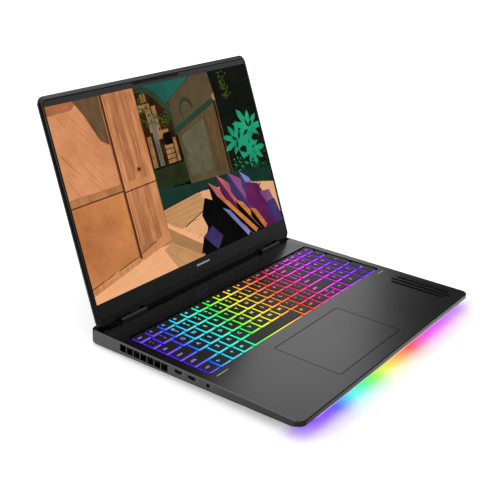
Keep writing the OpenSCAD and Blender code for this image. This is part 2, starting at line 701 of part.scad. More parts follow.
module display_cable() color([0.02, 0.02, 0.02]) {
    block([-60, 3.7, 24], [-30, 4, 60]);
    block([-60, 3.7, 12], [-48, 4, 24]);
    block([-104, 3.7, 6.5], [-48, 4, 12]);
}

// ---- output --------------------------------------------------------------------------------
in_base() top_deck();
in_base() bottom_cover();
in_base() rubber_feet();
in_base() bottom_screws();
in_base() light_bar();
in_base() mainboard();
in_base() processor_packages();
in_base() vapor_chamber();
in_base() heat_pipes();
in_base() heatsinks();
in_base() fan_housings();
in_base() fan_rotor(-1);  // fan_rotor_left
in_base() fan_rotor(1);  // fan_rotor_right
in_base() battery_pack();
in_base() ssd_module();
in_base() memory_modules();
in_base() wireless_card();
in_base() speakers();
in_base() usb_c_sockets();
in_base() audio_jack();
in_base() usb_a_sockets();
in_base() hdmi_socket();
in_base() ethernet_socket();
in_base() power_socket();
in_base() rear_grille();
in_base() mirrored() hinge_bracket();  // hinge_brackets
in_base() mirrored() hinge_cap();  // hinge_caps
in_base() touchpad_plate();
in_base() touchpad_bracket();
in_base() keyboard_plate();
in_base() light_guide();
in_base() dome_sheet();
in_base() key_scissors();
in_lid() lid_cover();
in_lid() screen_bezel();
in_lid() display_panel();
in_lid() hinge_cover();
in_lid() camera_module();
in_lid() display_cable();
in_lid() mirrored() hinge_arm();  // hinge_arms
in_base() keycaps(escape_boxes);  // escape_key
in_base() keycaps(function_boxes);  // function_keys
in_base() keycaps(navigation_boxes);  // navigation_keys
in_base() keycaps(power_boxes);  // power_key
in_base() keycaps(number_boxes);  // number_keys
in_base() keycaps(backspace_boxes);  // backspace_key
in_base() keycaps(tab_boxes);  // tab_key
in_base() keycaps(upper_boxes);  // upper_letter_keys
in_base() keycaps(caps_boxes);  // caps_lock_key
in_base() keycaps(home_boxes);  // home_letter_keys
in_base() keycaps(enter_boxes);  // enter_key
in_base() keycaps(left_shift_boxes);  // left_shift_key
in_base() keycaps(right_shift_boxes);  // right_shift_key
in_base() keycaps(lower_boxes);  // lower_letter_keys
in_base() keycaps(modifier_boxes);  // modifier_keys
in_base() keycaps(space_boxes);  // space_key
in_base() keycaps(arrow_boxes);  // arrow_keys
in_base() keycaps(numpad_boxes);  // numpad_keys
in_base() keycaps(plus_boxes);  // numpad_plus_key
in_base() keycaps(numpad_enter_boxes);  // numpad_enter_key
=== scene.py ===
"""The looks of a 16-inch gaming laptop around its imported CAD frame: a lit keyboard with legends,
a lit screen, a light bar under the front edge, painted metal and moulded plastic. Metres, row frame."""
import colorsys
import json
import math
import random

import bmesh
import bpy
import numpy as np
from mathutils import Matrix, Vector


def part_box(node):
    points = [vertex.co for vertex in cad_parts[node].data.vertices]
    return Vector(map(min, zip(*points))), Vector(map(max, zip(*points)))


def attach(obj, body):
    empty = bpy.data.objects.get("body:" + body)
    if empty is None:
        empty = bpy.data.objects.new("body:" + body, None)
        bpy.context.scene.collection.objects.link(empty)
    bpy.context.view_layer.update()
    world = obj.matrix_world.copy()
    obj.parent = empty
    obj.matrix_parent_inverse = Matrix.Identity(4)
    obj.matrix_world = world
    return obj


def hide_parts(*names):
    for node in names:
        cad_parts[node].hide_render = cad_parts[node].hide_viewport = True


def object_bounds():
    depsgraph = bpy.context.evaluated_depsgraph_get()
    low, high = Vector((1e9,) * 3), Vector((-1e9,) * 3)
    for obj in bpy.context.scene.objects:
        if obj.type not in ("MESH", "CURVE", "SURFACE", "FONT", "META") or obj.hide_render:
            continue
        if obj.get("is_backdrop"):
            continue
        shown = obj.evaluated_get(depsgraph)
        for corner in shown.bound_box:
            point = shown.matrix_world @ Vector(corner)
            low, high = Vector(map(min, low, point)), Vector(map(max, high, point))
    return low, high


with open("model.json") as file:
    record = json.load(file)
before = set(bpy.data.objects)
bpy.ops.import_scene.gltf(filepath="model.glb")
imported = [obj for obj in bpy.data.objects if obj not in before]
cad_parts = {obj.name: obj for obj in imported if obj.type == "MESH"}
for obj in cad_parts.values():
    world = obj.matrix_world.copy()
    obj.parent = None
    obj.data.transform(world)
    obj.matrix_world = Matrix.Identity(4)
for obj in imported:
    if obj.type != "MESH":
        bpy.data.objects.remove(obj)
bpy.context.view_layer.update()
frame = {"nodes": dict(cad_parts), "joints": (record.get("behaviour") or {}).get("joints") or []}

MM = 0.001

# ---- places, from the frame ------------------------------------------------------------------
base_low, base_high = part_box("top_deck")
middle = (base_low + base_high) / 2
deck_top = base_high.z
hinge = Vector(next(j["pos_m"] for j in frame["joints"] if j["name"] == "lid_hinge"))


def facing_user(node):
    """Unit normal of the sides of a node that face the user, weighted by area."""
    total = Vector()
    for p in frame["nodes"][node].data.polygons:
        if p.normal.y < -0.6:
            total += p.normal * p.area
    return total.normalized()


def on_deck(x, y, lift=0.0):
    """A point over the deck, from millimetres right of and behind the base's middle."""
    return Vector((middle.x + x * MM, middle.y + y * MM, deck_top + lift * MM))


# The lid's own axes: across, up the screen and out of the screen, from the hinge's axis
across = Vector((1, 0, 0))
out = facing_user("display_panel")
up = out.cross(across)
lid_place = Matrix((across, up, out)).transposed().to_4x4()
lid_place.translation = hinge
screen_low = 26.5 * MM  # from the hinge's axis up to the lit area


# ---- camera ----------------------------------------------------------------------------------
def make_camera():
    """The photo's view, from the front left and a little above."""
    azimuth, tilt, roll = math.radians(51.39), math.radians(16.95), math.radians(1.29)
    ahead = Vector((math.sin(azimuth) * math.cos(tilt), math.cos(azimuth) * math.cos(tilt), -math.sin(tilt)))
    level = Vector((math.cos(azimuth), -math.sin(azimuth), 0))
    upright = level.cross(ahead)
    right = level * math.cos(roll) + upright * math.sin(roll)
    data = bpy.data.cameras.new("camera")
    data.lens, data.sensor_width = 63.66, 36
    data.shift_x, data.shift_y = 0.0765, -0.18
    data.clip_start, data.clip_end = 0.01, 50
    camera = bpy.data.objects.new("camera", data)
    bpy.context.scene.collection.objects.link(camera)
    camera.matrix_world = Matrix((right, right.cross(ahead), -ahead)).transposed().to_4x4()
    camera.location = on_deck(-759.93, -490.97, 447.15)
    bpy.context.scene.camera = camera


make_camera()


# ---- material building blocks ----------------------------------------------------------------
def linear(*rgb):
    """A colour given as 0 to 255 on a display, as linear RGBA."""
    return tuple((c / 255 / 12.92 if c < 10.5 else ((c / 255 + 0.055) / 1.055) ** 2.4) for c in rgb) + (1,)


class Shader:
    """A Principled material whose nodes are added by short calls."""

    def __init__(self, name, **constants):
        self.material = bpy.data.materials.new(name)
        self.material.use_nodes = True
        self.tree = self.material.node_tree
        self.main = self.tree.nodes["Principled BSDF"]
        for socket, value in constants.items():
            self.main.inputs[socket.replace("_", " ")].default_value = value
        self.place = self.add("ShaderNodeTexCoord").outputs["Object"]

    def add(self, kind, **settings):
        node = self.tree.nodes.new(kind)
        for key, value in settings.items():
            setattr(node, key, value)
        return node

    def link(self, a, b):
        self.tree.links.new(a, b)

    def noise(self, scale, detail, stretch=(1, 1, 1), rough=0.5):
        """Cloudy noise fixed to the object, with spots of about 1 / scale metres."""
        mapping = self.add("ShaderNodeMapping")
        mapping.inputs["Scale"].default_value = stretch
        self.link(self.place, mapping.inputs["Vector"])
        texture = self.add("ShaderNodeTexNoise")
        texture.inputs["Scale"].default_value = scale
        texture.inputs["Detail"].default_value = detail
        texture.inputs["Roughness"].default_value = rough
        self.link(mapping.outputs["Vector"], texture.inputs["Vector"])
        return texture.outputs["Fac"]

    def ramp(self, factor, stops):
        """A colour for a factor, from stops of position and colour."""
        node = self.add("ShaderNodeValToRGB")
        elements = node.color_ramp.elements
        for i, (position, colour) in enumerate(stops):
            element = elements[i] if i < 2 else elements.new(position)
            element.position, element.color = position, colour
        self.link(factor, node.inputs["Fac"])
        return node.outputs["Color"]

    def spread(self, factor, low, high, start, end):
        """A factor that runs from start to end, mapped to low to high."""
        node = self.add("ShaderNodeMapRange")
        for socket, value in zip(("From Min", "From Max", "To Min", "To Max"), (start, end, low, high)):
            node.inputs[socket].default_value = value
        self.link(factor, node.inputs["Value"])
        return node.outputs["Result"]

    def mix(self, factor, a, b):
        """A blend of two colours. Each input is a value or another node's output."""
        node = self.add("ShaderNodeMix", data_type="RGBA")
        for socket, value in ((0, factor), (6, a), (7, b)):
            if isinstance(value, bpy.types.NodeSocket):
                self.link(value, node.inputs[socket])
            else:
                node.inputs[socket].default_value = value
        return node.outputs[2]

    def bump(self, height, distance):
        """Relief from a height, up to a distance in metres."""
        node = self.add("ShaderNodeBump")
        node.inputs["Distance"].default_value = distance
        self.link(height, node.inputs["Height"])
        self.link(node.outputs["Normal"], self.main.inputs["Normal"])

    def axis(self, source, name):
        """One of a vector's three parts, X, Y or Z."""
        node = self.add("ShaderNodeSeparateXYZ")
        self.link(source, node.inputs["Vector"])
        return node.outputs[name]

    def colour(self, socket_out, target="Base Color"):
        """Feeds an input of the material, its colour unless another is named."""
        self.link(socket_out, self.main.inputs[target])


def grained(name, dark, light, grain, rough, depth, metallic=0.0, stretch=(1, 1, 1), **constants):
    """A surface with fine grain, its size and depth in millimetres: speckled colour, uneven gloss, bump."""
    s = Shader(name, Metallic=metallic, **constants)
    fine = s.noise(1 / (grain * MM), 4, stretch)
    s.colour(s.ramp(fine, [(0.32, dark), (0.68, light)]))
    broad = s.noise(9, 3)
    s.colour(s.spread(broad, rough - 0.01, rough + 0.02, 0.3, 0.7), "Roughness")
    s.bump(fine, depth * MM)
    return s.material


# The backlight's rainbow: millimetres from the base's middle, and hue in degrees
RAINBOW = [(-182, 262), (-148, 256), (-136, 222), (-124, 196), (-88, 169), (-64, 132), (-52, 84),
           (-28, 57), (8, 31), (32, 6), (56, -28), (104, -65), (140, -88), (182, -100)]
SLANT = 0.26  # shift to the right for each unit towards the rear
LEVEL_ROW = 27  # the row of keys where the places above hold, behind the base's middle

# The same for the light bar, which has no slant
BAR_RAINBOW = [(-160, 274), (-126, 266), (-110, 234), (-98, 204), (-80, 178), (-58, 156), (-40, 96),
               (-20, 66), (0, 50), (20, 34), (40, 4), (60, -40), (80, -54), (100, -65), (130, -72),
               (160, -76)]


def rainbow(shader, saturation, hues=RAINBOW, slant=SLANT):
    """A rainbow's colour across the laptop's width, which may slant towards the rear."""
    low, high = hues[0][0], hues[-1][0]
    along = shader.add("ShaderNodeVectorMath", operation="DOT_PRODUCT")
    along.inputs[1].default_value = (1, -slant, 0)
    shader.link(shader.place, along.inputs[0])
    start = middle.x - slant * (middle.y + LEVEL_ROW * MM)
    across_width = shader.spread(along.outputs["Value"], 0, 1, start + low * MM, start + high * MM)
    stops = []
    for x, hue in hues:
        shown = colorsys.hsv_to_rgb(hue % 360 / 360, saturation, 1)
        stops.append(((x - low) / (high - low), linear(*(255 * c for c in shown))))
    return shader.ramp(across_width, stops)


def lit_rainbow(name, saturation, strength, base=(0.02, 0.02, 0.02, 1), hues=RAINBOW, slant=SLANT):
    """A dark surface that glows in a rainbow's colours."""
    s = Shader(name, Roughness=0.5, Base_Color=base, Emission_Strength=strength)
    s.colour(rainbow(s, saturation, hues, slant), "Emission Color")
    return s.material


deck_paint = grained("deck_paint", linear(88, 88, 89), linear(104, 104, 105), 0.35, 0.23, 0.0015,
                     metallic=1.0)
lid_paint = grained("lid_paint", linear(80, 80, 81), linear(96, 96, 97), 0.35, 0.32, 0.006, metallic=1.0)
touchpad_glass = grained("touchpad_glass", linear(90, 90, 91), linear(106, 106, 107), 0.2, 0.23, 0.0006,
                         metallic=1.0)
# Painted shade: near black for the front chamfer, which reads dark as it mirrors dim surroundings.
chamfer_painted_shade = grained("chamfer_painted_shade", linear(12, 12, 12), linear(18, 18, 18), 0.3, 0.6, 0.002,
                     Specular_IOR_Level=0.2)
cover_plastic = grained("cover_plastic", linear(26, 26, 27), linear(38, 38, 39), 0.5, 0.6, 0.03)
bezel_plastic = grained("bezel_plastic", linear(11, 11, 12), linear(17, 17, 18), 0.3, 0.32, 0.005)
camera_black = grained("camera_black", linear(7, 7, 8), linear(11, 11, 12), 0.3, 0.5, 0.003,
                       Specular_IOR_Level=0.25)
panel_black = grained("panel_black", linear(4, 4, 5), linear(8, 8, 9), 1.0, 0.4, 0.002,
                      Specular_IOR_Level=0.05)
# Matte black: the colour of plain black marks, and painted shade where it stands for holes, gaps and shadow
# lines.
black_and_painted_shade = grained("black_and_painted_shade", linear(5, 5, 5), linear(10, 10, 10), 0.2, 0.8, 0.002,
                     Specular_IOR_Level=0.1)
key_plastic = grained("key_plastic", linear(15, 15, 15), linear(24, 24, 23), 0.25, 0.42, 0.006)
foot_rubber = grained("foot_rubber", linear(16, 16, 16), linear(26, 26, 26), 0.4, 0.85, 0.03)
print_grey = grained("print_grey", linear(150, 150, 150), linear(176, 176, 176), 0.2, 0.6, 0.002)
faint_print = grained("faint_print", linear(96, 96, 96), linear(114, 114, 114), 0.2, 0.6, 0.002)
screw_steel = grained("screw_steel", linear(60, 60, 62), linear(90, 90, 92), 0.2, 0.35, 0.01, metallic=1.0)
socket_steel = grained("socket_steel", linear(120, 120, 124), linear(160, 160, 164), 0.3, 0.3, 0.004,
                       metallic=1.0, stretch=(1, 6, 6))
socket_plastic = grained("socket_plastic", linear(12, 12, 12), linear(22, 22, 22), 0.4, 0.5, 0.01)
hinge_steel = grained("hinge_steel", linear(80, 80, 83), linear(110, 110, 113), 0.3, 0.35, 0.006,
                      metallic=1.0, stretch=(1, 8, 8))
board_green = grained("board_green", linear(10, 50, 30), linear(16, 74, 44), 2.5, 0.45, 0.03)
chip_black = grained("chip_black", linear(22, 22, 24), linear(34, 34, 36), 0.5, 0.5, 0.01)
copper = grained("copper", linear(150, 84, 52), linear(196, 120, 80), 0.4, 0.3, 0.004,
                 metallic=1.0, stretch=(1, 10, 10))
fin_aluminium = grained("fin_aluminium", linear(150, 150, 153), linear(190, 190, 193), 0.4, 0.35, 0.004,
                        metallic=1.0)
fan_plastic = grained("fan_plastic", linear(18, 18, 19), linear(30, 30, 31), 0.5, 0.5, 0.01)
battery_wrap = grained("battery_wrap", linear(20, 20, 22), linear(32, 32, 35), 3.0, 0.3, 0.05)
silicone = grained("silicone", linear(170, 170, 166), linear(200, 200, 196), 0.5, 0.6, 0.01)
cable_film = grained("cable_film", linear(14, 14, 15), linear(24, 24, 26), 0.6, 0.4, 0.01)
plate_glow = lit_rainbow("plate_glow", 0.92, 0.35)
bar_glow = lit_rainbow("bar_glow", 0.45, 0.55, (0.3, 0.3, 0.3, 1), BAR_RAINBOW, 0)
legend_glow = lit_rainbow("legend_glow", 0.55, 1.0)

NODE_MATERIALS = {
    deck_paint: ["top_deck"],
    cover_plastic: ["bottom_cover", "rear_grille"],
    foot_rubber: ["rubber_feet"],
    screw_steel: ["bottom_screws"],
    bar_glow: ["light_bar"],
    board_green: ["mainboard", "memory_modules", "wireless_card"],
    chip_black: ["processor_packages", "ssd_module"],
    copper: ["vapor_chamber", "heat_pipes"],
    fin_aluminium: ["heatsinks"],
    fan_plastic: ["fan_housings", "fan_rotor_left", "fan_rotor_right", "speakers"],
    battery_wrap: ["battery_pack"],
    socket_steel: ["usb_a_sockets", "hdmi_socket"],
    socket_plastic: ["usb_c_sockets", "audio_jack", "ethernet_socket", "power_socket"],
    hinge_steel: ["hinge_brackets", "hinge_arms", "touchpad_bracket"],
    bezel_plastic: ["hinge_caps", "screen_bezel", "hinge_cover"],
    touchpad_glass: ["touchpad_plate"],
    plate_glow: ["keyboard_plate", "light_guide"],
    silicone: ["dome_sheet", "key_scissors"],
    lid_paint: ["lid_cover"],
    panel_black: ["display_panel"],
    camera_black: ["camera_module"],
    cable_film: ["display_cable"],
}
for material, names in NODE_MATERIALS.items():
    for name in names:
        slots = frame["nodes"][name].data.materials
        slots.clear()
        slots.append(material)


def darken(node, material, chosen):
    """Gives a node's chosen faces a second, dark material."""
    mesh = frame["nodes"][node].data
    mesh.materials.append(material)
    for face in mesh.polygons:
        if chosen(face):
            face.material_index = 1


def on_nose(face):
    """On the hinge cover's round nose, deep under the lid."""
    away = face.center - hinge
    return math.hypot(away.y, away.z) < 2.1 * MM


def on_front_chamfer(face):
    """On the chamfer between the deck and the front wall."""
    return face.normal.y < -0.5 and face.normal.z > 0.3 and face.center.y < base_low.y + 9 * MM


def not_on_top(face):
    """Anywhere but on the side that the backlight shines from."""
    return face.normal.z < 0.5


# Painted shade: the nose is black so that it reads as the shadow line where the lid meets the deck.
darken("hinge_cover", black_and_painted_shade, on_nose)
# Painted shade on the chamfer between the deck and the front wall.
darken("top_deck", chamfer_painted_shade, on_front_chamfer)
darken("keyboard_plate", black_and_painted_shade, not_on_top)
darken("light_guide", black_and_painted_shade, not_on_top)


# ---- mesh building blocks --------------------------------------------------------------------
def piece(name, bm, materials, body):
    """Turns a bmesh into a piece that rides on a body."""
    bmesh.ops.recalc_face_normals(bm, faces=bm.faces)
    mesh = bpy.data.meshes.new(name)
    bm.to_mesh(mesh)
    bm.free()
    for m in materials:
        mesh.materials.append(m)
    made = bpy.data.objects.new(name, mesh)
    bpy.context.scene.collection.objects.link(made)
    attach(made, body)
    return made


def ring(low, high, radius, z, steps=4):
    """Points of a rounded rectangle at one height, counter-clockwise."""
    points = []
    corners = [(high.x - radius, high.y - radius), (low.x + radius, high.y - radius),
               (low.x + radius, low.y + radius), (high.x - radius, low.y + radius)]
    for quarter, (cx, cy) in enumerate(corners):
        for i in range(steps + 1):
            a = math.pi / 2 * (quarter + i / steps)
            points.append(Vector((cx + radius * math.cos(a), cy + radius * math.sin(a), z)))
    return points


def loft(bm, rings, lit=()):
    """A closed skin over rings of equal length. The bands listed in lit get the second material."""
    rows = [[bm.verts.new(p) for p in r] for r in rings]
    for band, (a, b) in enumerate(zip(rows, rows[1:])):
        for i in range(len(a)):
            j = (i + 1) % len(a)
            face = bm.faces.new((a[i], a[j], b[j], b[i]))
            face.material_index = 1 if band in lit else 0
            face.smooth = band not in lit
    bm.faces.new(rows[0])
    bm.faces.new(rows[-1])


def islands(node):
    """The separate solids of a node as (low, high) boxes, rear row first and left to right."""
    bm = bmesh.new()
    bm.from_mesh(frame["nodes"][node].data)
    bmesh.ops.remove_doubles(bm, verts=bm.verts, dist=1e-6)
    boxes, seen = [], set()
    for start in bm.verts:
        if start in seen:
            continue
        stack, members = [start], []
        seen.add(start)
        while stack:
            v = stack.pop()
            members.append(v.co)
            for e in v.link_edges:
                other = e.other_vert(v)
                if other not in seen:
                    seen.add(other)
                    stack.append(other)
        points = np.array(members)
        boxes.append((Vector(points.min(0)), Vector(points.max(0))))
    bm.free()
    row_step = 4 * MM  # solids whose middles lie closer than this are in one row
    return sorted(boxes, key=lambda b: (-round((b[0].y + b[1].y) / 2 / row_step), b[0].x))


# ---- keys ------------------------------------------------------------------------------------
def key_skirt():
    """Side walls of a keycap, lit from below; walls that face the user get a painted paler sheen, as if more
    light fell on them.
    """
    s = Shader("key_skirt", Roughness=0.5, Base_Color=(0.02, 0.02, 0.02, 1), Emission_Strength=1.15)
    geometry = s.add("ShaderNodeNewGeometry")
    # Painted highlight: walls that face the user are mixed a little towards white, a paler sheen as if lit
    # more.
    painted_sheen_towards_user = s.spread(s.axis(geometry.outputs["Normal"], "Y"), 0.08, 0.0, -0.9, -0.3)
    s.colour(s.mix(painted_sheen_towards_user, rainbow(s, 0.94), (1, 1, 1, 1)), "Emission Color")
    return s.material


skirt = key_skirt()
CAP_WALL, CAP_ROOF, CAP_CORNER = 1.2 * MM, 1.3 * MM, 1.3 * MM


def keycap(bm, low, high):
    """One keycap: hollow below, rounded at the top edge, slightly dished. Its lower outer wall is lit."""
    def at(inset, radius, z):
        step = Vector((inset, inset, 0))
        return ring(low + step, high - step, radius, z)
    top, r = high.z, CAP_CORNER
    loft(bm, [at(CAP_WALL, 0.4 * MM, top - CAP_ROOF), at(CAP_WALL, 0.4 * MM, low.z), at(0, r, low.z),
              at(0.1 * MM, r, top - 0.9 * MM), at(0.22 * MM, r, top - 0.18 * MM),
              at(0.5 * MM, r * 0.8, top), at(1.3 * MM, r * 0.6, top - 0.03 * MM),
              at(2.6 * MM, r * 0.4, top - 0.06 * MM)], lit=(2,))


def text_faces(bm, words, size, place, align="CENTER"):
    """Adds thin flat lettering to a bmesh at a place in the row frame."""
    curve = bpy.data.curves.new("lettering", "FONT")
    curve.body, curve.size = words, size
    curve.align_x, curve.align_y = align, "CENTER"
    curve.resolution_u, curve.offset, curve.extrude = 2, 0.12 * MM, 0.04 * MM
    holder = bpy.data.objects.new("lettering", curve)
    mesh = holder.to_mesh()
    offset = len(bm.verts)
    bm.from_mesh(mesh)
    bm.verts.ensure_lookup_table()
    for v in bm.verts[offset:]:
        v.co += place
    holder.to_mesh_clear()
    bpy.data.objects.remove(holder)
    bpy.data.curves.remove(curve)


# What each key says, in the order of its node's keys. Two signs with a bar stand one over the other.
LEGENDS = {
    "escape_key": ["esc"],
    "function_keys": ["f1", "f2", "f3", "f4", "f5", "f6", "f7", "f8", "f9", "f10", "f11", "f12", "del"],
    "navigation_keys": ["home", "end", "pg"],
    "power_key": ["on"],
    "number_keys": ["~|`", "!|1", "@|2", "#|3", "$|4", "%|5", "^|6", "&|7", "*|8", "(|9", ")|0", "_|-",
                    "+|="],
    "backspace_key": ["back"],
    "tab_key": ["tab"],
    "upper_letter_keys": list("QWERTYUIOP") + ["{|[", "}|]", "|\\"],
    "caps_lock_key": ["caps"],
    "home_letter_keys": list("ASDFGHJKL") + [":|;", "\"|'"],
    "enter_key": ["enter"],
    "left_shift_key": ["shift"],
    "right_shift_key": ["shift"],
    "lower_letter_keys": list("ZXCVBNM") + ["<|,", ">|.", "?|/"],
    "modifier_keys": ["ctrl", "fn", "+", "alt", "alt", "ctrl"],
    "space_key": [""],
    "arrow_keys": ["<", "^", ">", "v"],
    "numpad_keys": ["num", "/", "*", "-", "7", "8", "9", "4", "5", "6", "1", "2", "3", "0", "."],
    "numpad_plus_key": ["+"],
    "numpad_enter_key": ["ent"],
}
SMALL_TYPE, NUMBER_TYPE, LETTER_TYPE = 4.6 * MM, 5.4 * MM, 6.2 * MM


def key_legends(bm, words, low, high):
    """One key's lettering: a letter in its middle, a word in small type at its left, or two signs."""
    lift = high.z - 0.03 * MM
    left, mid_x = low.x + 2.4 * MM, (low.x + high.x) / 2
    mid_y = (low.y + high.y) / 2
    if words.count("|") == 1 and len(words) == 3:
        text_faces(bm, words[0], SMALL_TYPE, Vector((mid_x, mid_y + 3.1 * MM, lift)))
        text_faces(bm, words[2], NUMBER_TYPE, Vector((mid_x, mid_y - 2.8 * MM, lift)))
    elif len(words) == 1:
        text_faces(bm, words, LETTER_TYPE, Vector((mid_x, mid_y + 0.4 * MM, lift)))
    elif words:
        text_faces(bm, words, SMALL_TYPE, Vector((left, mid_y, lift)), "LEFT")


for node, words in LEGENDS.items():
    caps, letters = bmesh.new(), bmesh.new()
    boxes = islands(node)
    assert len(boxes) == len(words), (node, len(boxes), len(words))
    for (low, high), legend in zip(boxes, words):
        keycap(caps, low, high)
        key_legends(letters, legend, low, high)
    made = piece(node + "_caps", caps, [key_plastic, skirt], node)
    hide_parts(node)
    if letters.verts:
        piece(node + "_legends", letters, [legend_glow], node)
    else:
        letters.free()


# ---- the lit screen --------------------------------------------------------------------------
def lit_paint(name, light, dark, scale, stretch=(1, 1, 1)):
    """A colour of the screen's picture, brushed between two tones in patches of 1 / scale metres."""
    s = Shader("lit_" + name, Roughness=0.4, Base_Color=(0.002, 0.002, 0.002, 1),
               Specular_IOR_Level=0.0, Emission_Strength=1.0)
    tone = s.noise(scale, 6, stretch, 0.68)
    s.colour(s.ramp(tone, [(0.33, dark), (0.67, light)]), "Emission Color")
    return s.material


UPRIGHT = (5, 1, 1)  # stretches the brushed patches upwards
PAINTS = {
    "wall_light": (linear(224, 154, 108), linear(190, 122, 80), 16),
    "wall_low": (linear(212, 138, 82), linear(168, 104, 60), 16),
    "wall_line": (linear(178, 112, 74), linear(154, 94, 60), 40),
    "wall_stroke": (linear(196, 128, 86), linear(176, 110, 70), 40),
    "wall_glint": (linear(226, 158, 112), linear(212, 144, 98), 40),
    "post": (linear(194, 130, 84), linear(150, 96, 62), 24, UPRIGHT),
    "post_light": (linear(216, 148, 98), linear(180, 116, 72), 24, UPRIGHT),
    "timber_edge": (linear(92, 54, 34), linear(66, 38, 24), 60),
    "shade": (linear(112, 86, 58), linear(88, 66, 44), 20, UPRIGHT),
    "floor_light": (linear(243, 178, 130), linear(232, 166, 118), 20),
    "boards": (linear(198, 148, 100), linear(182, 134, 90), 20),
    "sand": (linear(228, 172, 124), linear(214, 158, 112), 20),
    "sand_dark": (linear(176, 128, 86), linear(150, 110, 74), 30),
    "teal_roof": (linear(38, 102, 88), linear(24, 78, 70), 20),
    "teal_beam": (linear(50, 68, 48), linear(36, 50, 34), 30),
    "ruin": (linear(64, 34, 16), linear(22, 12, 6), 60),
    "ruin_light": (linear(176, 130, 84), linear(118, 78, 46), 70),
    "glass": (linear(122, 122, 108), linear(84, 86, 76), 50),
    "front": (linear(100, 82, 54), linear(66, 58, 40), 16),
    "column": (linear(104, 82, 52), linear(68, 52, 34), 20, UPRIGHT),
    "plaster": (linear(106, 102, 78), linear(70, 72, 54), 14),
    "dark_wall": (linear(20, 24, 16), linear(7, 10, 7), 20),
    "ground": (linear(28, 58, 48), linear(18, 44, 36), 30),
    "low_wall": (linear(46, 50, 28), linear(26, 36, 18), 40),
    "leaf": (linear(40, 168, 124), linear(20, 130, 94), 30),
    "leaf_shade": (linear(12, 66, 48), linear(6, 30, 24), 40),
    "bush": (linear(24, 70, 36), linear(8, 30, 16), 90),
    "vine": (linear(72, 92, 30), linear(28, 48, 14), 120),
    "night": (linear(10, 10, 8), linear(2, 3, 3), 30),
    "amber": (linear(216, 144, 70), linear(166, 84, 42), 40),
    "rose": (linear(206, 122, 104), linear(150, 74, 84), 30),
    "plum": (linear(104, 36, 88), linear(74, 18, 62), 20),
    "plum_light": (linear(136, 84, 128), linear(104, 58, 104), 20),
    "indigo": (linear(72, 56, 112), linear(40, 24, 66), 20),
    "steel_blue": (linear(134, 140, 198), linear(96, 100, 156), 20),
}


EDGE, FOOT, TOP = 172.3, 0.1, 215.3  # how far the picture reaches: to each side, down and up
SHEET = 0.003  # thickness of one of its shapes


class Picture:
    """A picture of thin flat shapes on the panel, in millimetres from the lit area's lower middle."""

    def __init__(self):
        self.bm, self.depth = bmesh.new(), -0.6
        self.brush = random.Random(9)
        self.names = list(PAINTS)

    def shape(self, paint, points, over=True):
        """A flat shape, over the ones drawn before it or level with the last."""
        self.depth += SHEET if over else 0
        held = [(max(-EDGE, min(EDGE, x)) * MM, screen_low + max(FOOT, min(TOP, v)) * MM)
                for x, v in points]
        rows = [[self.bm.verts.new(lid_place @ Vector((x, v, z * MM))) for x, v in held]
                for z in (self.depth - SHEET, self.depth)]
        faces = [self.bm.faces.new(row) for row in rows]
        for i, (a, b) in enumerate(zip(*rows)):
            faces.append(self.bm.faces.new((a, rows[0][i - 1], rows[1][i - 1], b)))
        for face in faces:
            face.material_index = self.names.index(paint)

    def area(self, paint, x0, v0, x1, v1):
        """A rectangle from its lower left to its upper right corner."""
        self.shape(paint, [(x0, v0), (x1, v0), (x1, v1), (x0, v1)])

    def line(self, paint, a, b, width):
        """A straight bar from one point to another."""
        side = Vector((b[1] - a[1], a[0] - b[0])).normalized() * width / 2
        self.shape(paint, [(a[0] - side.x, a[1] - side.y), (b[0] - side.x, b[1] - side.y),
                           (b[0] + side.x, b[1] + side.y), (a[0] + side.x, a[1] + side.y)])

    def disc(self, paint, x, v, wide, tall, start=0, turn=360, steps=24, over=True):
        """An ellipse with half-widths wide and tall, or the part of it that a turn in degrees covers."""
        angles = [math.radians(start + turn * i / steps) for i in range(steps + (turn < 360))]
        self.shape(paint, [(x + wide * math.cos(a), v + tall * math.sin(a)) for a in angles], over)

    def leaf(self, paint, x, v, length, angle, width):
        """A pointed leaf or brush stroke, level with the last shape."""
        along = Vector((math.cos(angle), math.sin(angle)))
        side = Vector((-along.y, along.x))
        # The outline, as shares of the length and of the half width
        edge = [(0, 0), (0.25, 0.8), (0.5, 1), (0.75, 0.6), (1, 0), (0.75, -0.5), (0.5, -0.9), (0.25, -0.7)]
        self.shape(paint, [(x + along.x * length * t + side.x * width * w / 2,
                            v + along.y * length * t + side.y * width * w / 2) for t, w in edge],
                   over=False)

    def foliage(self, paint, x0, v0, x1, v1, count, size, rng):
        """Leaves strewn over an area, pointing every way."""
        self.depth += SHEET
        for _ in range(count):
            self.leaf(paint, rng.uniform(x0, x1), rng.uniform(v0, v1), size * rng.uniform(0.6, 1.4),
                      rng.uniform(0, 2 * math.pi), size * 0.5)

    def strokes(self, paint, x0, v0, x1, v1, count, reach, angle):
        """Thin tapered brush strokes that all run one way."""
        self.depth += SHEET
        for _ in range(count):
            self.leaf(paint, self.brush.uniform(x0, x1), self.brush.uniform(v0, v1),
                      reach * self.brush.uniform(0.4, 1.3), angle + self.brush.uniform(-0.05, 0.05),
                      self.brush.uniform(0.5, 1.2))


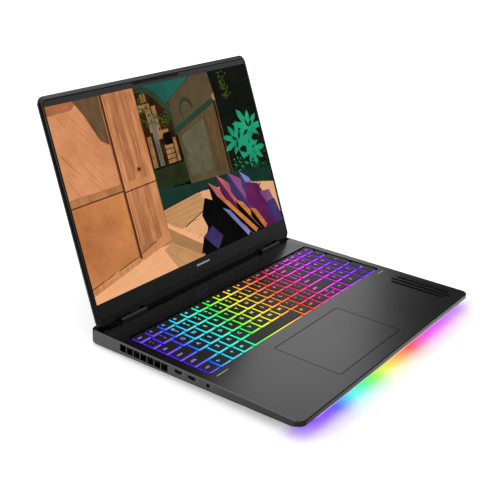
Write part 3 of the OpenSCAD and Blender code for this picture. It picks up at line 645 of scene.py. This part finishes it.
def paint_timber_wall(pic, rng):
    """A timber wall and post on the left, over a sunlit floor."""
    pic.shape("floor_light", [(-EDGE, 0), (-EDGE, 20), (-41, 48), (-41, 0)])
    pic.area("wall_light", -EDGE, 104, -93, TOP)
    pic.shape("wall_line", [(-EDGE, TOP), (-126, TOP), (-138, 206), (-EDGE, 205)])
    pic.strokes("wall_stroke", -172, 130, -104, 212, 44, 30, -0.9)
    pic.strokes("wall_glint", -172, 120, -104, 206, 34, 24, -0.9)
    pic.shape("shade", [(-134, TOP), (-94, TOP), (-94, 158), (-108, 166), (-124, 200)])
    pic.shape("wall_low", [(-EDGE, 16), (-93, 30), (-93, 106), (-EDGE, 105)])
    pic.strokes("wall_stroke", -170, 34, -122, 98, 26, 24, -0.5)
    pic.area("wall_line", -96, 30, -92, TOP)
    pic.shape("post", [(-EDGE, 105), (-93, 106), (-93, 113), (-EDGE, 113)])
    pic.line("timber_edge", (-EDGE, 104.6), (-93, 105.6), 1.5)
    pic.line("wall_line", (-EDGE, 113.4), (-93, 113.4), 0.8)
    pic.shape("post_light", [(-EDGE, 17), (-93, 31), (-93, 24), (-EDGE, 9)])
    pic.line("timber_edge", (-EDGE, 17), (-93, 31), 1.0)
    pic.strokes("sand", -160, 2, -70, 20, 22, 34, 0.3)
    pic.area("post", -92, 30, -41, TOP)
    for x, wide in ((-88, 5), (-69, 6), (-53, 10)):
        pic.area("post_light", x, 40, x + wide, TOP)
    pic.strokes("wall_stroke", -89, 80, -44, 213, 44, 34, -math.pi / 2)
    pic.strokes("wall_glint", -89, 70, -44, 213, 20, 26, -math.pi / 2)
    for x in (-81, -61.5, -55.5):
        pic.line("wall_line", (x, 40), (x + 1, 213), 0.8)
    pic.line("wall_glint", (-90.4, 34), (-90.4, 213), 0.9)
    pic.strokes("wall_line", -91, 214, -42, 215, 40, 16, -math.pi / 2)
    pic.shape("post_light", [(-92, 105), (-41, 107), (-41, 113), (-92, 114)])
    pic.line("timber_edge", (-92, 103.6), (-41, 105.4), 1.4)
    pic.shape("post_light", [(-92, 24), (-41, 34), (-41, 46), (-92, 32)])
    pic.line("timber_edge", (-90, 32.6), (-64, 39.6), 1.0)
    pic.line("timber_edge", (-93, 27), (-93, TOP), 3.2)
    pic.disc("wall_line", -62.5, 124, 4.6, 3.6)
    pic.disc("timber_edge", -62.5, 124, 2.2, 2.0)
    pic.disc("night", -62.5, 124, 1.4, 1.3)
    for _ in range(26):
        x, v = rng.uniform(-168, -70), rng.uniform(2, 12)
        pic.disc("sand", x, v, 0.8, 0.4, steps=6, over=False)
    pic.shape("boards", [(-56, 26), (-41, 31), (8, 0), (-41, 0)])
    for a, b in (((-50, 22), (-28, 0)), ((-42, 27), (-4, 0)), ((-40, 14), (-27, 20))):
        pic.line("sand_dark", a, b, 0.8)


def paint_courtyard(pic, rng):
    """Ruins, an arch and a plastered building front in the middle."""
    pic.area("night", -41, 80, EDGE, TOP)
    pic.area("ruin", -41, 118, 12, TOP)
    for x, v, w, h in ((-38, 118, 7, 38), (-30, 160, 9, 34), (-19, 150, 7, 40), (-14, 154, 14, 6),
                       (-12, 118, 14, 24), (4, 118, 5, 30), (-40, 186, 14, 8), (-33, 196, 9, 10)):
        pic.area("ruin_light", x, v, x + w, v + h)
    pic.area("night", -10, 141, 3, 156)
    for v in (124, 130, 136):
        pic.line("ruin", (-12, v), (2, v), 1.0)
    pic.area("glass", -26.5, 119, -19.5, 176)
    pic.disc("glass", -23, 176, 3.5, 7, 0, 180)
    pic.line("ruin", (-23, 119), (-23, 181), 0.7)
    pic.foliage("vine", -38, 170, -24, 208, 40, 5, rng)
    pic.foliage("vine", -16, 164, 6, 178, 34, 5, rng)
    pic.area("low_wall", -41, 92, 16, 119)
    pic.line("night", (-41, 117), (14, 118), 1.6)
    pic.foliage("bush", -41, 90, 14, 98, 40, 4, rng)
    pic.shape("teal_roof", [(-26, TOP), (58, TOP), (6, 188)])
    pic.line("teal_beam", (8, 189), (60, 215), 2.0)
    arch = [(-41, 213), (-22, 211), (-6, 199), (6, 184), (13, 168), (14, 150)]
    for a, b in zip(arch, arch[1:]):
        pic.line("teal_beam", a, b, 7.5)
    for a, b in zip(arch, arch[1:]):
        pic.line("teal_roof", (a[0] + 3, a[1] + 3), (b[0] + 3, b[1] + 3), 0.9)
    pic.shape("front", [(12, 190), (60, TOP), (94, TOP), (97, 186), (97, 84), (16, 88)])
    pic.disc("teal_beam", 40, 176, 13, 15, 0, 200)
    pic.disc("column", 40, 175, 9.5, 11, 0, 200)
    pic.disc("front", 40, 174, 8, 9, 0, 200)
    pic.line("teal_beam", (10, 154), (100, 182), 8)
    pic.line("teal_roof", (10, 158), (100, 186), 0.9)
    pic.shape("plaster", [(20, 146), (66, 160), (66, 96), (20, 97)])
    pic.shape("column", [(66, 161), (91, 170), (91, 86), (66, 92)])
    pic.strokes("teal_beam", 18, 100, 92, 184, 30, 14, -1.4)
    pic.strokes("column", 18, 96, 92, 184, 30, 14, -1.5)
    pic.line("ruin", (93.5, 84), (93.5, 178), 4)
    pic.disc("ruin_light", 97, 183, 6, 5)


def splayed_leaf(middle_x, middle_v, reach, lobes, rng):
    """Outline of a broad leaf with deep lobes all round."""
    points = []
    lobe_edge = ((0.42, -0.5), (0.8, -0.22), (1.0, 0.02), (0.74, 0.26))  # shares of its reach and width
    for i in range(lobes):
        tip, turn = reach * rng.uniform(0.75, 1.15), 2 * math.pi * i / lobes
        for share, step in lobe_edge:
            angle = turn + step * 2 * math.pi / lobes
            points.append((middle_x + 1.05 * tip * share * math.cos(angle),
                           middle_v + 0.95 * tip * share * math.sin(angle)))
    return points


def paint_dark_wall(pic, rng):
    """A shaded wall on the right, with creepers and broad bright leaves."""
    pic.area("dark_wall", 97, 74, EDGE, TOP)
    for v in (100, 128, 156, 186):
        pic.line("night", (97, v), (EDGE, v + 6), 1.4)
    pic.foliage("vine", 112, 178, 128, 213, 36, 5, rng)
    pic.foliage("bush", 98, 70, 172, 92, 90, 7, rng)
    pic.shape("leaf", splayed_leaf(121, 121, 27, 9, rng))
    pic.shape("leaf", splayed_leaf(149, 133, 29, 9, rng))
    pic.shape("leaf", splayed_leaf(145, 104, 25, 9, rng))
    for x, v, length, turn in ((121, 121, 13, 2.6), (121, 121, 12, 4.2), (124, 121, 14, 1.2),
                               (149, 133, 14, 0.7), (149, 133, 13, 1.9), (147, 131, 14, 3.6),
                               (145, 104, 13, 5.4), (145, 106, 11, 0.2)):
        pic.leaf("leaf_shade", x, v, length, turn, 5)
    pic.disc("dark_wall", 158, 118, 8, 4.5)
    pic.disc("dark_wall", 128, 108, 7, 4)
    for _ in range(34):
        x, v = rng.uniform(100, 170), rng.uniform(80, 100)
        pic.leaf("leaf", x, v, rng.uniform(2, 6), rng.uniform(0, 3), 2)
    pic.foliage("bush", 98, 64, 172, 80, 70, 7, rng)


def paint_floor(pic, rng):
    """Shaded ground, then a sunlit boarded floor with a ramp."""
    pic.shape("ground", [(-41, 62), (EDGE, 44), (EDGE, 74), (96, 84), (14, 88), (-41, 94)])
    pic.shape("sand", [(-41, 0), (-41, 62), (30, 75), (110, 68), (EDGE, 54), (EDGE, 0)])
    pic.shape("boards", [(-41, 40), (-41, 69), (24, 75), (34, 60), (30, 54), (-12, 41)])
    for i in range(5):
        pic.line("sand_dark", (-41, 66 - 5 * i), (30 - 4 * i, 72 - 7 * i), 0.7)
    pic.line("night", (-12, 41.5), (26, 52), 1.2)
    pic.shape("floor_light", [(-41, 54), (-41, 48), (30, 0), (48, 0)])
    pic.shape("sand_dark", [(-41, 48), (-41, 32), (-8, 0), (30, 0)])
    for a, b in (((-30, 42), (-22, 37)), ((-12, 30), (-4, 25)), ((4, 19), (12, 14))):
        pic.line("sand_dark", (a[0], a[1] + 4), (b[0], b[1] + 12), 0.7)
    pic.foliage("bush", 118, 58, 172, 66, 30, 6, rng)


# Crystals in the foreground: foot, tip, width, and the paints of the shaded and the bright side
CRYSTALS = [
    ((52, 0), (32, 66), 34, "night", "night"), ((34, 0), (14, 22), 40, "night", "indigo"),
    ((92, 0), (44, 82), 22, "night", "rose"), ((112, 0), (62, 88), 20, "plum", "rose"),
    ((132, 0), (84, 86), 26, "indigo", "plum_light"), ((142, 8), (108, 82), 20, "indigo", "steel_blue"),
    ((112, 0), (56, 62), 12, "night", "amber"), ((96, 0), (60, 46), 12, "night", "steel_blue"),
    ((150, 0), (116, 66), 34, "plum", "plum"), ((126, 0), (86, 50), 14, "night", "amber"),
    ((166, 0), (138, 48), 34, "plum", "plum_light"), ((132, 0), (112, 32), 14, "night", "amber"),
    ((172, 0), (150, 32), 26, "indigo", "indigo"),
]


def paint_crystals(pic):
    """A group of dark and bright crystals that leans to the left."""
    pic.shape("night", [(8, 0), (30, 40), (52, 62), (110, 58), (150, 30), (EDGE, 12), (EDGE, 0)])
    for foot, tip, wide, shaded, bright in CRYSTALS:
        along = Vector((tip[0] - foot[0], tip[1] - foot[1]))
        side = Vector((along.y, -along.x)).normalized() * wide / 2
        foot, tip = Vector(foot), Vector(tip)
        waist = foot + along * 0.78
        pic.shape(shaded, [foot - side, foot, tip, waist - side])
        pic.shape(bright, [foot, foot + side, waist + side, tip])


def make_picture():
    """Draws the picture from the back to the front and puts it on the panel."""
    rng = random.Random(16)
    pic = Picture()
    pic.area("night", -EDGE, 0, EDGE, TOP)
    paint_courtyard(pic, rng)
    paint_dark_wall(pic, rng)
    paint_floor(pic, rng)
    paint_timber_wall(pic, rng)
    paint_crystals(pic)
    paints = [lit_paint(name, *PAINTS[name]) for name in pic.names]
    shown = piece("screen_picture", pic.bm, paints, "lid")
    shown.visible_glossy = shown.visible_diffuse = False


make_picture()


# ---- small details on the deck, walls and lid ------------------------------------------------
PRINT = 0.02 * MM  # thickness of a printed mark


def plate(bm, low, high, radius, lift, matrix=None):
    """A printed rounded plate, flat in X and Y, or in the axes of a matrix."""
    rings = [ring(low, high, radius, lift), ring(low, high, radius, lift + PRINT)]
    if matrix:
        rings = [[matrix @ p for p in r] for r in rings]
    loft(bm, rings)


def make_perforations():
    """Fine six-sided dots in offset rows, on the deck between the keyboard and the hinge caps: flat black
    marks whose black is painted shade in place of holes.
    """
    bm = bmesh.new()
    rows, pitch, row_pitch, r = 9, 2.4, 2.088, 0.55 * MM
    front, left, reach = 93, -165, 332
    cap_middle, cap_half, cap_front = 128, 22, 110
    for row in range(rows):
        y = front + row_pitch * row
        shift = pitch / 2 * (row % 2)
        for i in range(int(reach / pitch)):
            x = left + shift + pitch * i
            if abs(abs(x) - cap_middle) < cap_half and y > cap_front:
                continue
            centre = on_deck(x, y)
            loft(bm, [[centre + Vector((r * math.cos(a), r * math.sin(a), z))
                       for a in (k * math.pi / 3 for k in range(6))] for z in (0, PRINT / 2)])
    piece("deck_perforations", bm, [black_and_painted_shade], "base")


def make_deck_marks():
    """Plain ornament on the palm rest: four black bars, and a short dash below each end of the keyboard."""
    bars = bmesh.new()
    for x, half, y0, y1 in ((145, 2.5, -117, -50), (153, 2.5, -122, -46), (161, 2.5, -117, -50),
                            (167.5, 0.8, -122, -50)):
        plate(bars, on_deck(x - half, y0), on_deck(x + half, y1), half * 0.9 * MM, deck_top)
    piece("palm_rest_bars", bars, [black_and_painted_shade], "base")
    dashes = bmesh.new()
    for x0, x1 in ((-165, -147), (153, 166)):
        plate(dashes, on_deck(x0, -28.5), on_deck(x1, -27.5), 0.4 * MM, deck_top)
    piece("deck_dashes", dashes, [print_grey], "base")


def make_wall_marks():
    """Small plain signs beside the sockets in the left wall. X runs to the rear and Y down the wall."""
    side = Matrix(((0, 0, -1), (1, 0, 0), (0, -1, 0))).to_4x4()
    side.translation = Vector((base_low.x, middle.y, deck_top))
    bm = bmesh.new()
    for y in (2.6, -14.8):
        for dz in (2.6, 4.4):
            plate(bm, Vector((y - 0.5, dz, 0)) * MM, Vector((y + 0.5, dz + 1.1, 0)) * MM, 0.3 * MM, 0, side)
    for dz in (3.2, 4.6):
        plate(bm, Vector((-33.6, dz, 0)) * MM, Vector((-32.4, dz + 0.7, 0)) * MM, 0.3 * MM, 0, side)
    piece("socket_signs", bm, [faint_print], "base")


def band(bm, outer, inner):
    """A closed frame between two pairs of outlines, each given low edge first."""
    rows = [[bm.verts.new(p) for p in r] for r in (*outer, *reversed(inner))]
    for a, b in zip(rows, rows[1:] + rows[:1]):
        for i in range(len(a)):
            bm.faces.new((a[i - 1], a[i], b[i], b[i - 1]))


def seal(name, body, outline, insets, heights):
    """A thin black frame. outline gives its course for an inset and a height, all in millimetres."""
    bm = bmesh.new()
    outer, inner = ([outline(inset, z) for z in heights] for inset in insets)
    band(bm, outer, inner)
    piece(name, bm, [black_and_painted_shade], body)


def well_course(inset, z):
    """Round the keyboard's well."""
    step = Vector((inset, inset, 0)) * MM
    return ring(on_deck(-166.5, -21) + step, on_deck(168, 89.3) - step, (4 - inset) * MM,
                deck_top + z * MM, 6)


def bezel_course(inset, z):
    """Round the bezel, whose lower rim is set in less than its other sides."""
    low_rim = 9.8 if inset < 1 else 10.1
    points = ring(Vector((-174 + inset, low_rim, 0)) * MM, Vector((174 - inset, 249.3 - inset, 0)) * MM,
                  (5 - inset) * MM, z * MM, 6)
    return [lid_place @ p for p in points]


def touchpad_course(inset, z):
    """Round the touchpad's top."""
    low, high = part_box("touchpad_plate")
    step = Vector((inset, inset, 0)) * MM
    return ring(low + step, high - step, (2.8 - inset) * MM, high.z + z * MM, 6)


def make_seals():
    """A black liner of painted shade in the keyboard's well, a gasket round the bezel and a dark ring of
    painted shade on the touchpad's edge.
    """
    # Painted shade: a black sheet down the walls of the keyboard's well, where shade falls in the recess.
    seal("keyboard_well_painted_shade", "base", well_course, (0.02, 0.35), (-4.6, -0.02))
    seal("screen_gasket", "lid", bezel_course, (0.05, 1.1), (0.1, 0.24))
    # Painted shade: a black ring on the touchpad's rim, for the shaded gap round it.
    seal("touchpad_gap_painted_shade", "touchpad", touchpad_course, (0.02, 0.5), (0, 0.02))


def make_lid_details():
    """A plain bar on the chin, and a microphone hole on each side of the camera, drawn as a flat black mark
    of painted shade.
    """
    bar = bmesh.new()
    plate(bar, Vector((-11, 18.6, 0)) * MM, Vector((13, 20.6, 0)) * MM, 0.9 * MM, 0.2 * MM, lid_place)
    piece("chin_bar", bar, [print_grey], "lid")
    holes = bmesh.new()
    # Painted shade: flat black marks in place of the holes.
    for x in (-27, 27):
        plate(holes, Vector((x - 0.6, 246.3, 0)) * MM, Vector((x + 0.6, 247.5, 0)) * MM, 0.55 * MM,
              0.1 * MM, lid_place)
    piece("microphone_holes", holes, [black_and_painted_shade], "lid")


make_perforations()
make_deck_marks()
make_wall_marks()
make_seals()
make_lid_details()


# ---- stage and light -------------------------------------------------------------------------
# Strength of the light bar's glow painted onto the floor, by millimetres from the base's middle
GLOW_AHEAD = [(-160, 0), (-155, 0.26), (-150, 0.3), (-145, 0.375), (-140, 0.52), (-136, 0.7), (-132, 0.82),
              (-122, 0.82), (-110, 0)]
GLOW_ACROSS = [(-190, 0), (-180, 0.34), (-170, 0.56), (-160, 0.77), (-150, 0.92), (-140, 1), (90, 1),
               (110, 0.94), (130, 0.84), (150, 0.71), (170, 0.55), (190, 0.35), (205, 0)]


FLOOR_HALF = 6.0  # metres from the floor's middle to its sides


def make_floor():
    """A pale floor, with a painted glow in the light bar's colours in front of the laptop."""
    bm = bmesh.new()
    bmesh.ops.create_grid(bm, x_segments=1, y_segments=1, size=FLOOR_HALF)
    mesh = bpy.data.meshes.new("floor")
    bm.to_mesh(mesh)
    bm.free()
    floor = bpy.data.objects.new("floor", mesh)
    bpy.context.scene.collection.objects.link(floor)
    floor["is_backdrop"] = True
    floor.visible_glossy = False
    s = Shader("floor", Roughness=0.9, Specular_IOR_Level=0.0, Emission_Strength=1.0)

    def profile(axis, stops):
        """Strength of the painted glow along one axis, from millimetres from the base's middle."""
        low, high = stops[0][0], stops[-1][0]
        centre = middle.x if axis == "X" else middle.y
        along = s.spread(s.axis(s.place, axis), 0, 1, centre + low * MM, centre + high * MM)
        return s.ramp(along, [((v - low) / (high - low), (f, f, f, 1)) for v, f in stops])
    painted_glow = s.add("ShaderNodeMath", operation="MULTIPLY", use_clamp=True)
    s.link(profile("Y", GLOW_AHEAD), painted_glow.inputs[0])
    s.link(profile("X", GLOW_ACROSS), painted_glow.inputs[1])
    pale = s.ramp(s.noise(3, 2), [(0.3, (0.97, 0.97, 0.97, 1)), (0.7, (1, 1, 1, 1))])
    # Painted light: where the glow is painted, the floor turns dark and emits the light bar's rainbow.
    s.colour(s.mix(painted_glow.outputs[0], pale, (0.02, 0.02, 0.02, 1)))
    s.colour(s.mix(painted_glow.outputs[0], (0.3, 0.3, 0.3, 1), rainbow(s, 1.0, BAR_RAINBOW, 0)), "Emission Color")
    mesh.materials.append(s.material)


# Light seen in reflections: height of a direction, from -1 down to 1 up, and brightness
MIRRORED_LIGHT = [(-0.5, 0.2), (-0.05, 0.09), (0.12, 0.045), (0.6, 0.045), (0.95, 0.5)]

# Soft bright patches in reflections: azimuth, elevation and reach in degrees, and brightness
MIRRORED_PATCHES = [(-34, -20, 30, 0.75), (103, -18, 26, 0.8), (126, 28, 28, 1.1), (74, 56, 24, 0.95),
                    (-44, 44, 28, 1.05)]


def compass(azimuth, elevation):
    """A direction. Azimuth 0 is towards the rear, 90 towards the user's right."""
    a, e = math.radians(azimuth), math.radians(elevation)
    return Vector((math.sin(a) * math.cos(e), math.cos(a) * math.cos(e), math.sin(e)))


def make_world():
    """White behind everything and white as soft light. Mirrored, it is dim with soft bright patches."""
    world = bpy.data.worlds.new("studio")
    bpy.context.scene.world = world
    world.use_nodes = True
    world.cycles.sampling_method = "NONE"
    tree = world.node_tree
    tree.nodes.clear()
    add, link = tree.nodes.new, tree.links.new
    path = add("ShaderNodeLightPath")

    def background(value):
        node = add("ShaderNodeBackground")
        node.inputs[0].default_value = (value, value, value, 1)
        return node.outputs[0]

    def choose(when, yes, no):
        node = add("ShaderNodeMixShader")
        for socket, value in zip(node.inputs, (path.outputs[when], no, yes)):
            link(value, socket)
        return node.outputs[0]
    mirrored = background(1.0)
    towards = add("ShaderNodeTexCoord").outputs["Generated"]
    height = add("ShaderNodeSeparateXYZ")
    link(towards, height.inputs[0])
    rise = add("ShaderNodeMapRange")
    rise.inputs["From Min"].default_value = -1
    link(height.outputs["Z"], rise.inputs["Value"])
    shades = add("ShaderNodeValToRGB")
    elements = shades.color_ramp.elements
    for i, (z, value) in enumerate(MIRRORED_LIGHT):
        element = elements[i] if i < 2 else elements.new((z + 1) / 2)
        element.position, element.color = (z + 1) / 2, (value, value, value, 1)
    link(rise.outputs["Result"], shades.inputs["Fac"])
    total = shades.outputs["Color"]
    for azimuth, elevation, reach, value in MIRRORED_PATCHES:
        dot = add("ShaderNodeVectorMath")
        dot.operation = "DOT_PRODUCT"
        dot.inputs[1].default_value = compass(azimuth, elevation)
        link(towards, dot.inputs[0])
        patch = add("ShaderNodeMapRange")
        patch.interpolation_type = "SMOOTHSTEP"
        rim = math.cos(math.radians(reach))
        for socket, number in zip(("From Min", "From Max", "To Max"), (rim, 1, value)):
            patch.inputs[socket].default_value = number
        link(dot.outputs["Value"], patch.inputs["Value"])
        both = add("ShaderNodeMath")
        link(total, both.inputs[0])
        link(patch.outputs["Result"], both.inputs[1])
        total = both.outputs[0]
    link(total, mirrored.node.inputs[0])
    soft = choose("Is Glossy Ray", mirrored, background(1.05))
    link(choose("Is Camera Ray", background(1.0), soft), add("ShaderNodeOutputWorld").inputs[0])
    bpy.context.scene.view_settings.view_transform = "Standard"


def softbox(name, azimuth, elevation, distance, wide, tall, power):
    """An area light that faces the laptop from a compass direction, in metres and watts."""
    data = bpy.data.lights.new(name, "AREA")
    data.shape, data.size, data.size_y, data.energy = "RECTANGLE", wide, tall, power
    lamp = bpy.data.objects.new(name, data)
    bpy.context.scene.collection.objects.link(lamp)
    away = compass(azimuth, elevation)
    lamp.location = middle + away * distance
    lamp.rotation_mode = "QUATERNION"
    lamp.rotation_quaternion = away.to_track_quat("Z", "Y")
    lamp.visible_camera = False


softbox("rear_right_softbox", 56.2, 25, 3.0, 0.85, 1.3, 3.55)
make_floor()
make_world()

low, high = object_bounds()
